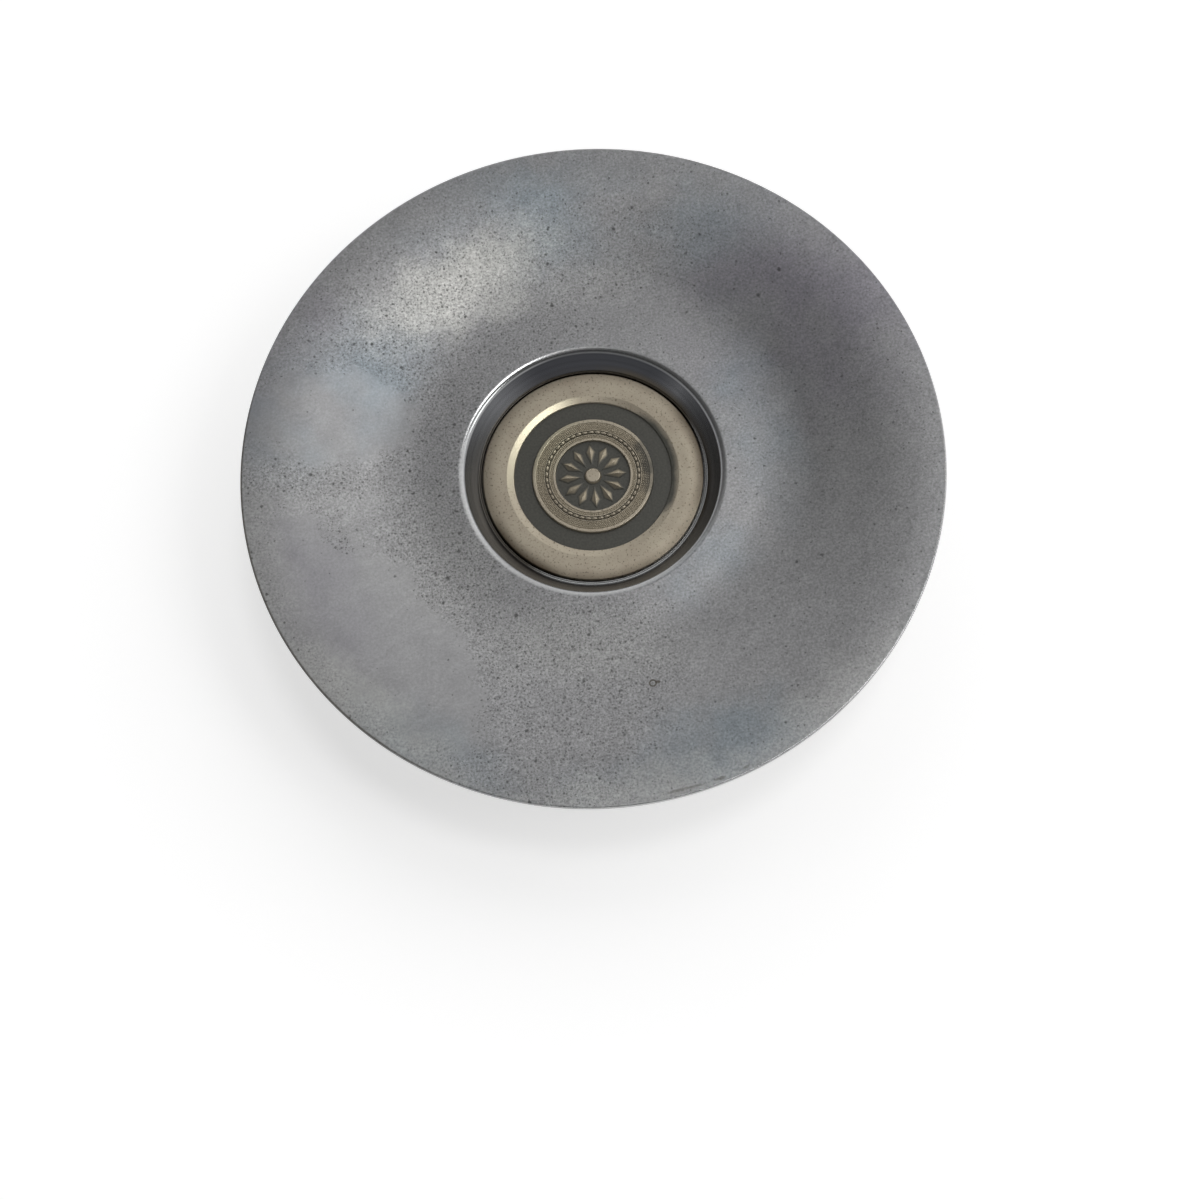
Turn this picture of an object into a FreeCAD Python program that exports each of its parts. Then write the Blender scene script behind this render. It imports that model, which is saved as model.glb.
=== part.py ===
# Wheel centre cap: a dished aluminium face with a medallion in its centre well, carried by a
# moulded retainer that snaps into the wheel's centre bore and covers hub and lug nuts.
# Millimetres. Z is the wheel's axis and the face looks along +Z. The origin is on the axis, in
# the seat plane where the retainer's flange bears on the wheel.
import FreeCAD, Part
import math
import os

# Face dish, outline of the visible surface from the rim inwards: corners and their rounds
dish_radius = 89.0
rim_width = 9.5               # gently falling rim, in to the shoulder where the fall steepens
shoulder_fall = 0.7           # rim's edge above the shoulder's corner
shoulder_blend = 7.5          # the shoulder's round, as its length along each side
trough_radius = 49.0          # the fall meets the slight rise to the well's mouth here
dish_depth = 6.55             # rim's edge above that corner
trough_blend = 8.0            # the trough's round, as its length along each side
boss_rise = 0.35              # well's mouth above the trough's corner
rim_cut = 0.4

# Wall of the dish; its back is turned in straight cuts between the same corners
dish_wall = 1.8

# Well and medallion pocket in the middle of the dish
mouth_radius = 33.4
mouth_round = 1.8
well_depth = 4.7              # boss above the ledge at the foot of the well's wall
ledge_width = 0.6
pocket_clearance = 0.35       # around the medallion
floor_thickness = 1.8

# Medallion: struck disc with an annulus, a sunk ring, a raised disc and a rosette
medallion_radius = 28.5
medallion_thickness = 2.4
medallion_stand = 0.3         # face above the pocket's ledge
medallion_edge_cut = 0.6
annulus_inner_radius = 22.2
bevel_width = 1.9             # bevel from the annulus down to the sunk ring
sunk_depth = 0.9
disc_radius = 15.8
disc_height = 0.65            # above the sunk ring
disc_draft = 0.35
cord_radius = 11.9            # raised ring on the disc
cord_width = 1.2
cord_height = 0.5
eye_radius = 9.9              # sunk eye that holds the rosette
eye_draft = 0.3
petal_count = 12
petal_inner_radius = 2.3
petal_shoulder_radius = 6.6
petal_outer_radius = 9.2
petal_half_width = 1.5
petal_height = 0.75
button_radius = 2.3           # button in the middle of the rosette
button_height = 0.85
button_draft = 0.7

# Medallion posts and the push nuts on them
post_count = 4
post_circle_radius = 18.0
post_radius = 1.5
post_tip = 2.2                # post below the retainer's web
post_chamfer = 0.3
post_hole_clearance = 0.15
nut_width = 9.0
nut_sheet = 0.6
nut_bite_clearance = 0.05
nut_slit_width = 0.5
nut_slit_length = 6.0

# Retainer: web and stop flange, upstand under the dish, pilot collar and snap fingers
web_thickness = 2.4
web_hole_radius = 11.0
hub_ring_wall = 1.8
rib_count = 8
rib_thickness = 1.6
rib_height = 3.0
flange_radius = 42.0
upstand_wall = 2.0
upstand_gap = 0.2             # upstand below the dish's back
pilot_radius = 35.6
pilot_length = 5.0
pilot_cut = 0.6
collar_wall = 3.2
finger_count = 8
finger_angle = 26.0
finger_wall = 1.8
lip_space = 4.2               # neck between the pilot and the barbs, for the wheel's lip
barb_reach = 1.1
barb_catch_drop = 1.0
barb_land = 0.6
barb_lead_in = 2.4            # height of the tapered tip
barb_tip_inset = 1.9
nib_depth = 0.7

# Flat-wire spring ring inside the fingers
ring_width = 1.8
ring_thickness = 0.9
groove_depth = 0.5
ring_clearance = 0.1
ring_gap_angle = 14.0

# Heights of the stack, from the seat plane up
floor_bottom = web_thickness
floor_top = floor_bottom + floor_thickness
face_height = floor_top + medallion_thickness
ledge_height = face_height - medallion_stand
boss_height = ledge_height + well_depth
trough_corner = boss_height - boss_rise
rim_height = trough_corner + dish_depth
shoulder_height = rim_height - shoulder_fall
shoulder_radius = dish_radius - rim_width
fall_angle = math.atan2(shoulder_height - trough_corner, shoulder_radius - trough_radius)
rise_angle = math.atan2(boss_rise, trough_radius - mouth_radius)
trough_turn = fall_angle + rise_angle
trough_round = trough_blend / math.tan(trough_turn / 2)
trough_fill = math.cos((fall_angle - rise_angle) / 2) / math.cos(trough_turn / 2) - 1
trough_height = trough_corner + trough_round * trough_fill
trough_back = trough_height - dish_wall
sunk_height = face_height - sunk_depth
disc_top = sunk_height + disc_height

# Radii that follow from the fits
pocket_radius = medallion_radius + pocket_clearance
ledge_radius = pocket_radius + ledge_width
post_hole_radius = post_radius + post_hole_clearance
collar_inner_radius = pilot_radius - collar_wall
neck_radius = collar_inner_radius + finger_wall
barb_radius = neck_radius + barb_reach
groove_radius = collar_inner_radius + groove_depth

# Heights of the fingers, from the seat plane down
catch_height = -(pilot_length + lip_space)
barb_top = catch_height - barb_catch_drop
barb_bottom = barb_top - barb_land
finger_bottom = barb_bottom - barb_lead_in
ring_centre = (barb_top + barb_bottom) / 2

origin = FreeCAD.Vector(0, 0, 0)
up = FreeCAD.Vector(0, 0, 1)


def at(r, z):
    return FreeCAD.Vector(r, 0, z)


def line(start, end):
    return Part.LineSegment(start, end).toShape()


def outline(corners):
    # Edges through corners (r, z). A corner (r, z, style, size) is broken by a cut or a round: "cut"
    # and "blend" take their length along each side, "round" takes the arc's radius.
    edges = []
    start = at(*corners[0][:2])
    for before, corner, after in zip(corners, corners[1:], corners[2:]):
        here = at(*corner[:2])
        if len(corner) == 2:
            edges.append(line(start, here))
            start = here
            continue
        style, size = corner[2:]
        backward = (at(*before[:2]) - here).normalize()
        forward = (at(*after[:2]) - here).normalize()
        half_angle = backward.getAngle(forward) / 2
        reach = size / math.tan(half_angle) if style == "round" else size
        radius = reach * math.tan(half_angle)
        first = here + backward * reach
        last = here + forward * reach
        edges.append(line(start, first))
        if style == "cut":
            edges.append(line(first, last))
        else:
            inset = radius / math.sin(half_angle) - radius
            middle = here + (backward + forward).normalize() * inset
            edges.append(Part.Arc(first, middle, last).toShape())
        start = last
    edges.append(line(start, at(*corners[-1][:2])))
    return edges


def turned(edges, angle=360.0):
    # Solid of revolution about the wheel's axis, centred on the X axis where it isn't full
    section = Part.Face(Part.Wire(Part.__sortEdges__(edges)))
    section.rotate(origin, up, -angle / 2)
    return section.revolve(origin, up, angle)


def around(shape, count, first_angle=0.0):
    copies = []
    for index in range(count):
        copy = shape.copy()
        copy.rotate(origin, up, first_angle + index * 360.0 / count)
        copies.append(copy)
    return copies


def post_holes():
    hole = Part.makeCylinder(post_hole_radius, floor_top, at(post_circle_radius, 0), up)
    return around(hole, post_count)


def make_face_dish():
    # The back follows the well's sloping wall at the wall's thickness and stands plumb at its base
    slope = math.atan2(boss_height - ledge_height, mouth_radius - ledge_radius)
    shift = dish_wall / math.sin(slope)
    root_radius = mouth_radius + shift - dish_wall / math.tan(slope)
    base_radius = pocket_radius + dish_wall
    knee_height = ledge_height - (ledge_radius + shift - base_radius) * math.tan(slope)
    section = outline([
        (0, floor_bottom),
        (base_radius, floor_bottom),
        (base_radius, knee_height),
        (root_radius, boss_height - dish_wall),
        (trough_radius, trough_back),
        (shoulder_radius, shoulder_height - dish_wall),
        (dish_radius, rim_height - dish_wall),
        (dish_radius, rim_height, "cut", rim_cut),
        (shoulder_radius, shoulder_height, "blend", shoulder_blend),
        (trough_radius, trough_corner, "blend", trough_blend),
        (mouth_radius, boss_height, "round", mouth_round),
        (ledge_radius, ledge_height),
        (pocket_radius, ledge_height),
        (pocket_radius, floor_top),
        (0, floor_top),
        (0, floor_bottom),
    ])
    return turned(section).cut(post_holes())


def make_petal():
    # Kite outline on the eye's floor, with four facets that rise to a peak at its shoulder
    inner_tip = at(petal_inner_radius, sunk_height)
    outer_tip = at(petal_outer_radius, sunk_height)
    left = FreeCAD.Vector(petal_shoulder_radius, petal_half_width, sunk_height)
    right = FreeCAD.Vector(petal_shoulder_radius, -petal_half_width, sunk_height)
    peak = at(petal_shoulder_radius, sunk_height + petal_height)
    rim = [inner_tip, left, outer_tip, right]
    facets = [[first, second, peak] for first, second in zip(rim, rim[1:] + rim[:1])]
    faces = [Part.Face(Part.makePolygon(facet + facet[:1])) for facet in facets + [rim]]
    return Part.Solid(Part.Shell(faces))


def make_medallion():
    section = outline([
        (0, sunk_height + button_height),
        (0, floor_top),
        (medallion_radius, floor_top),
        (medallion_radius, face_height, "cut", medallion_edge_cut),
        (annulus_inner_radius, face_height),
        (annulus_inner_radius - bevel_width, sunk_height),
        (disc_radius, sunk_height),
        (disc_radius - disc_draft, disc_top),
        (cord_radius + cord_width / 2, disc_top),
        (cord_radius, disc_top + cord_height),
        (cord_radius - cord_width / 2, disc_top),
        (eye_radius, disc_top),
        (eye_radius - eye_draft, sunk_height),
        (button_radius, sunk_height),
        (button_radius - button_draft, sunk_height + button_height),
        (0, sunk_height + button_height),
    ])
    post = turned(outline([
        (0, floor_top),
        (0, -post_tip),
        (post_radius, -post_tip, "cut", post_chamfer),
        (post_radius, floor_top),
        (0, floor_top),
    ]))
    post.translate(at(post_circle_radius, 0))
    additions = around(make_petal(), petal_count) + around(post, post_count)
    return turned(section).fuse(additions).removeSplitter()


def make_retainer():
    hub_ring_outer = web_hole_radius + hub_ring_wall
    upstand_inner = flange_radius - upstand_wall
    upstand_top = trough_back - upstand_gap
    body = turned(outline([
        (web_hole_radius, web_thickness),
        (web_hole_radius, -rib_height),
        (hub_ring_outer, -rib_height),
        (hub_ring_outer, 0),
        (collar_inner_radius, 0),
        (collar_inner_radius, -pilot_length - pilot_cut),
        (pilot_radius - pilot_cut, -pilot_length - pilot_cut),
        (pilot_radius, -pilot_length),
        (pilot_radius, 0),
        (flange_radius, 0),
        (flange_radius, upstand_top),
        (upstand_inner, upstand_top),
        (upstand_inner, web_thickness),
        (web_hole_radius, web_thickness),
    ]))
    nib_radius = collar_inner_radius - nib_depth
    groove_half = ring_width / 2 + ring_clearance
    finger = turned(outline([
        (collar_inner_radius, -pilot_length),
        (neck_radius, -pilot_length),
        (neck_radius, catch_height),
        (barb_radius, barb_top),
        (barb_radius, barb_bottom),
        (barb_radius - barb_tip_inset, finger_bottom),
        (nib_radius, finger_bottom),
        (nib_radius, ring_centre - groove_half),
        (groove_radius, ring_centre - groove_half),
        (groove_radius, ring_centre + groove_half),
        (collar_inner_radius, ring_centre + groove_half),
        (collar_inner_radius, -pilot_length),
    ]), finger_angle)
    # Ribs run from the hub ring into the collar, between the posts
    rib_start = web_hole_radius + hub_ring_wall / 2
    rib_length = collar_inner_radius + collar_wall / 2 - rib_start
    rib_corner = FreeCAD.Vector(rib_start, -rib_thickness / 2, -rib_height)
    rib = Part.makeBox(rib_length, rib_thickness, rib_height, rib_corner)
    half_step = 180.0 / rib_count
    additions = around(finger, finger_count) + around(rib, rib_count, half_step)
    return body.fuse(additions).removeSplitter().cut(post_holes())


def make_spring_ring():
    # Split ring of flat wire in the fingers' groove
    ring_outer = groove_radius - ring_clearance
    ring_inner = ring_outer - ring_thickness
    ring_top = ring_centre + ring_width / 2
    ring_bottom = ring_centre - ring_width / 2
    return turned(outline([
        (ring_inner, ring_top),
        (ring_outer, ring_top),
        (ring_outer, ring_bottom),
        (ring_inner, ring_bottom),
        (ring_inner, ring_top),
    ]), 360.0 - ring_gap_angle)


def make_push_nuts():
    # Square spring plate with a crossed slit, whose tongues bite the post under the retainer's web
    corner = FreeCAD.Vector(-nut_width / 2, -nut_width / 2, -nut_sheet)
    plate = Part.makeBox(nut_width, nut_width, nut_sheet, corner)
    bite = Part.makeCylinder(post_radius + nut_bite_clearance, nut_sheet, at(0, -nut_sheet), up)
    slit_corner = FreeCAD.Vector(-nut_slit_length / 2, -nut_slit_width / 2, -nut_sheet)
    slit = Part.makeBox(nut_slit_length, nut_slit_width, nut_sheet, slit_corner)
    cross_slit = slit.copy()
    cross_slit.rotate(origin, up, 90)
    nut = plate.cut([bite, slit, cross_slit])
    nut.translate(at(post_circle_radius, 0))
    return Part.makeCompound(around(nut, post_count))


pieces = {
    "face_dish": make_face_dish(),
    "medallion": make_medallion(),
    "retainer": make_retainer(),
    "spring_ring": make_spring_ring(),
    "push_nuts": make_push_nuts(),
}

os.makedirs("parts", exist_ok=True)
for name, shape in pieces.items():
    shape.exportStep(f"parts/{name}.step")
    print(name, len(shape.Solids), "solids", round(shape.Volume, 1), "mm3", shape.isValid())
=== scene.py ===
# Wheel centre cap: worn aluminium dish, champagne medallion in a well, black nylon retainer behind
import math
import bpy
from mathutils import Matrix, Vector


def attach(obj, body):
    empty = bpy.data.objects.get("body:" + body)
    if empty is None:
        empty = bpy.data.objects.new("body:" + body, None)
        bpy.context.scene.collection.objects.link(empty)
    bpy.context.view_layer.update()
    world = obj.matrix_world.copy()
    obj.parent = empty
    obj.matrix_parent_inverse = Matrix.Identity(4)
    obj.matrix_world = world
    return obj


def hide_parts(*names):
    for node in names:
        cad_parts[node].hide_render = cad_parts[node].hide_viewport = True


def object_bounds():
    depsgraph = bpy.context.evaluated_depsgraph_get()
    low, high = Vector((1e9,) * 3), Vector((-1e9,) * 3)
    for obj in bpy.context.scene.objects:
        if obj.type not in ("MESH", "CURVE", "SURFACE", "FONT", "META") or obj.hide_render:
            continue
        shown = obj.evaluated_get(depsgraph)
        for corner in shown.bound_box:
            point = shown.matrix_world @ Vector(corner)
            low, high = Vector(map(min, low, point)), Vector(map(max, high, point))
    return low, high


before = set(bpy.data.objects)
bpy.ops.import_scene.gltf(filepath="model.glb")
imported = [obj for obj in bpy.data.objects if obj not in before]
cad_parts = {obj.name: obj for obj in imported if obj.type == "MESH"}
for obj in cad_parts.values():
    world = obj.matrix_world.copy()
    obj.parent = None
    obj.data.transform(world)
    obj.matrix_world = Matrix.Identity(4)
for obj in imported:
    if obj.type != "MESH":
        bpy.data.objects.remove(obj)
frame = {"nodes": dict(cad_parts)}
cadLow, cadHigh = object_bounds()
mm = 0.001
print("frame loaded:", ", ".join(frame["nodes"]))


def hexColor(code):
    # sRGB hex to the linear colour that sockets take
    channels = [int(code[i:i + 2], 16) / 255 for i in (1, 3, 5)]
    linear = [c / 12.92 if c <= 0.04045 else ((c + 0.055) / 1.055) ** 2.4 for c in channels]
    return (*linear, 1.0)


def addNode(tree, kind, inputs=None, **settings):
    # kind: the node's type without its ShaderNode prefix
    # inputs: socket name or number -> a value, a node (its first live output) or one of its outputs
    node = tree.nodes.new("ShaderNode" + kind)
    for key, value in settings.items():
        setattr(node, key, value)
    for key, value in (inputs or {}).items():
        if isinstance(value, bpy.types.Node):
            value = next(socket for socket in value.outputs if socket.enabled)
        if isinstance(value, bpy.types.NodeSocket):
            tree.links.new(value, node.inputs[key])
        else:
            node.inputs[key].default_value = value
    return node


def newMaterial(name):
    # A material and its empty node tree, ready for a finish
    material = bpy.data.materials.new(name)
    material.use_nodes = True
    material.node_tree.nodes.clear()
    return material, material.node_tree


def perSize(sizeMm):
    # Texture scale that gives features of this many millimetres
    return 1 / (sizeMm * mm)


# Outlines are drawn in mm as (r, z, radius of the round there) and spun about the wheel's axis

def roundedOutline(corners, turnStep=6, support=0.04, longest=1.2):
    # Arcs in steps of turnStep degrees, at most longest mm each, and at least four
    # Support points close beside each arc keep the flats flat under smooth shading
    points = [Vector(corners[0][:2])]
    for before, corner, after in zip(corners, corners[1:], corners[2:]):
        here = Vector(corner[:2])
        if len(corner) == 2:
            points.append(here)
            continue
        radius = corner[2]
        back = (Vector(before[:2]) - here).normalized()
        ahead = (Vector(after[:2]) - here).normalized()
        half = back.angle(ahead) / 2
        turn = math.pi - 2 * half
        way = 1 if back.y * ahead.x - back.x * ahead.y > 0 else -1
        centre = here + (back + ahead).normalized() * radius / math.sin(half)
        spoke = here + back * radius / math.tan(half) - centre
        count = max(4, math.ceil(math.degrees(turn) / turnStep), math.ceil(radius * turn / longest))
        step = way * turn / count
        arc = [centre + Matrix.Rotation(step * index, 2) @ spoke for index in range(count + 1)]
        points += [arc[0] + back * support, *arc, arc[-1] + ahead * support]
    points.append(Vector(corners[-1][:2]))
    return points


def closeMesh(smoothAngle=32):
    # Merge doubles, turn the faces outwards and smooth all but the sharp edges; ends in object mode
    bpy.ops.object.mode_set(mode="EDIT")
    bpy.ops.mesh.select_all(action="SELECT")
    bpy.ops.mesh.remove_doubles(threshold=0.002 * mm)
    bpy.ops.mesh.fill_holes(sides=0)
    bpy.ops.mesh.normals_make_consistent(inside=False)
    bpy.ops.object.mode_set(mode="OBJECT")
    bpy.ops.object.shade_smooth_by_angle(angle=math.radians(smoothAngle))


def spinOutline(name, points, steps, sweep=360.0, smoothAngle=32):
    # One vertex is drawn through the outline, then spun to a closed body, centred on +X if not full
    bpy.ops.mesh.primitive_plane_add(size=mm, location=(0, 0, 0))
    piece = bpy.context.object
    piece.name = name
    bpy.ops.object.mode_set(mode="EDIT")
    bpy.ops.mesh.select_mode(type="VERT")
    bpy.ops.mesh.select_all(action="SELECT")
    bpy.ops.mesh.merge(type="CENTER")
    bpy.ops.transform.translate(value=(points[0].x * mm, 0, points[0].y * mm))
    for before, after in zip(points, points[1:]):
        move = ((after.x - before.x) * mm, 0, (after.y - before.y) * mm)
        bpy.ops.mesh.extrude_vertices_move(TRANSFORM_OT_translate={"value": move})
    bpy.ops.mesh.select_all(action="SELECT")
    bpy.ops.mesh.spin(steps=steps, angle=math.radians(sweep), center=(0, 0, 0), axis=(0, 0, 1))
    closeMesh(smoothAngle)
    if sweep < 360:
        # The mean of the vertices lies towards the middle of the sweep, and says how far to turn it
        middle = sum((vertex.co for vertex in piece.data.vertices), Vector())
        piece.rotation_euler.z = -math.atan2(middle.y, middle.x)
        bpy.ops.object.transform_apply()
    return piece


def pickVertices(piece, wanted):
    # Selects vertices by their place in mm and stays in edit mode
    bpy.ops.object.mode_set(mode="EDIT")
    bpy.ops.mesh.select_mode(type="VERT")
    bpy.ops.mesh.select_all(action="DESELECT")
    bpy.ops.object.mode_set(mode="OBJECT")
    for vertex in piece.data.vertices:
        vertex.select = wanted(vertex.co / mm)
    bpy.ops.object.mode_set(mode="EDIT")


def spinCopies(piece, count, firstAngle=0.0):
    # A ring of copies about the wheel's axis, in the piece's own mesh
    piece.rotation_euler.z = math.radians(firstAngle)
    bpy.ops.object.transform_apply()
    bpy.ops.object.mode_set(mode="EDIT")
    bpy.ops.mesh.select_all(action="SELECT")
    bpy.ops.mesh.spin(steps=count - 1, dupli=True, angle=math.tau * (count - 1) / count,
                      center=(0, 0, 0), axis=(0, 0, 1))
    bpy.ops.mesh.select_all(action="SELECT")
    bpy.ops.mesh.normals_make_consistent(inside=False)
    bpy.ops.object.mode_set(mode="OBJECT")


def roundEdges(offset, segments=2, sharpness=25):
    # Bevels the active piece's sharp edges
    bpy.ops.object.mode_set(mode="EDIT")
    bpy.ops.mesh.select_mode(type="EDGE")
    bpy.ops.mesh.select_all(action="DESELECT")
    bpy.ops.mesh.edges_select_sharp(sharpness=math.radians(sharpness))
    bpy.ops.mesh.bevel(offset=offset * mm, segments=segments, affect="EDGES", clamp_overlap=True)
    closeMesh()


def joinInto(body, extras):
    bpy.ops.object.select_all(action="DESELECT")
    for extra in extras:
        extra.select_set(True)
    body.select_set(True)
    bpy.context.view_layer.objects.active = body
    bpy.ops.object.join()


def dress(piece, node, material):
    # The piece stands for a CAD node and takes its slot and finish
    piece.data.materials.clear()
    piece.data.materials.append(material)
    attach(piece, "root")
    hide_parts(node)
    print(piece.name, "made:", len(piece.data.polygons), "faces")


# Shared parts of the finishes

def wandering(tree, where, sizeMm, reachMm, detail):
    # Coordinates pushed about by noise, so that patterns on them lose their regular edges
    drift = addNode(tree, "TexNoise", {
        "Vector": where, "Scale": perSize(sizeMm), "Detail": detail, "Roughness": 0.6},
        noise_dimensions="2D")
    centred = addNode(tree, "VectorMath", {
        0: drift.outputs["Color"], 1: (0.5, 0.5, 0.5)}, operation="SUBTRACT")
    push = addNode(tree, "VectorMath", {0: centred, "Scale": reachMm * mm}, operation="SCALE")
    return addNode(tree, "VectorMath", {0: where, 1: push}, operation="ADD")


def patchMask(tree, where, patch, blur=0.35):
    # patch = (x, y, half length, half width, turn in degrees, strength), in mm on the face
    x, y, halfLength, halfWidth, turn, strength = patch
    local = addNode(tree, "Mapping", {
        "Vector": where, "Location": (x * mm, y * mm, 0), "Rotation": (0, 0, math.radians(turn)),
        "Scale": (halfLength * mm, halfWidth * mm, 1)}, vector_type="TEXTURE")
    reach = addNode(tree, "VectorMath", {0: local}, operation="LENGTH")
    return addNode(tree, "MapRange", {
        "Value": reach, "From Min": 1 + blur, "From Max": 1 - blur, "To Max": strength},
        interpolation_type="SMOOTHSTEP")


def strongestPatch(tree, where, patches, floorLevel=0.0, blur=0.35):
    # Highest of several patches at each place
    level = floorLevel
    for patch in patches:
        mask = patchMask(tree, where, patch, blur)
        level = addNode(tree, "Math", {0: level, 1: mask}, operation="MAXIMUM")
    return level


def pitLayer(tree, where, density, s):
    # One round pit to a cell, present where the cell's own random number is below the density
    cells = addNode(tree, "TexVoronoi", {
        "Vector": where, "Scale": perSize(s["cell"])}, voronoi_dimensions="2D")
    dice = addNode(tree, "SeparateColor", {0: cells.outputs["Color"]})
    lean = addNode(tree, "Math", {0: dice.outputs[1], 1: s["lean"]}, operation="POWER")
    reach = addNode(tree, "MapRange", {
        "Value": lean, "To Min": s["small"] / s["cell"], "To Max": s["large"] / s["cell"]})
    bowl = addNode(tree, "Math", {0: cells.outputs["Distance"], 1: reach}, operation="DIVIDE")
    depth = addNode(tree, "MapRange", {
        "Value": bowl, "From Min": 1.0, "From Max": 0.35, "To Max": s["depth"]},
        interpolation_type="SMOOTHSTEP")
    share = addNode(tree, "Math", {0: density, 1: s["share"]}, operation="MULTIPLY")
    there = addNode(tree, "Math", {0: dice.outputs[0], 1: share}, operation="LESS_THAN")
    return addNode(tree, "Math", {0: depth, 1: there}, operation="MULTIPLY")


# Face dish
dishSizes = {
    "rimRadius": cadHigh.x / mm, "rimHeight": cadHigh.z / mm, "rimEdge": 0.35,
    "shoulderRadius": 79.5, "shoulderFall": 0.7, "shoulderRound": 128,
    "troughRadius": 49.0, "troughDepth": 6.55, "troughRound": 75,
    "mouthDepth": 6.2, "mouthRound": 1.6,
    "lipOuter": 34.0, "lipInner": 32.95, "lipFall": 0.36, "lipRound": 2.6,
    "ledgeRadius": 29.45, "ledgeDepth": 10.9, "pocketRadius": 28.85,
    "ledgeRound": 0.3, "pocketRound": 0.15,
    "floorTop": 4.2, "floorBottom": 2.4, "wall": 1.8, "steps": 320,
    "floorRound": 0.6, "neckDrop": 1.4, "neckRound": 1.2, "backMouth": 34.25, "backMouthRound": 1.6,
    "backTroughLift": 0.16, "backTroughRound": 40, "backShoulderRound": 60,
}


def makeDish(s):
    rim = s["rimHeight"]
    shoulder = rim - s["shoulderFall"]
    trough = rim - s["troughDepth"]
    mouth = rim - s["mouthDepth"]
    ledge = rim - s["ledgeDepth"]
    corners = [
        (0, s["floorBottom"]),
        (s["pocketRadius"] + s["wall"], s["floorBottom"], s["floorRound"]),
        (s["pocketRadius"] + s["wall"], ledge - s["neckDrop"], s["neckRound"]),
        (s["backMouth"], mouth - s["wall"], s["backMouthRound"]),
        (s["troughRadius"], trough - s["wall"] + s["backTroughLift"], s["backTroughRound"]),
        (s["shoulderRadius"], shoulder - s["wall"], s["backShoulderRound"]),
        (s["rimRadius"], rim - s["wall"], s["rimEdge"]),
        (s["rimRadius"], rim, s["rimEdge"]),
        (s["shoulderRadius"], shoulder, s["shoulderRound"]),
        (s["troughRadius"], trough, s["troughRound"]),
        (s["lipOuter"], mouth, s["lipRound"]),
        (s["lipInner"], mouth - s["lipFall"], s["mouthRound"]),
        (s["ledgeRadius"], ledge, s["ledgeRound"]),
        (s["pocketRadius"], ledge, s["pocketRound"]),
        (s["pocketRadius"], s["floorTop"]),
        (0, s["floorTop"]),
        (0, s["floorBottom"]),
    ]
    return spinOutline("dish", roundedOutline(corners), s["steps"])


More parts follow.
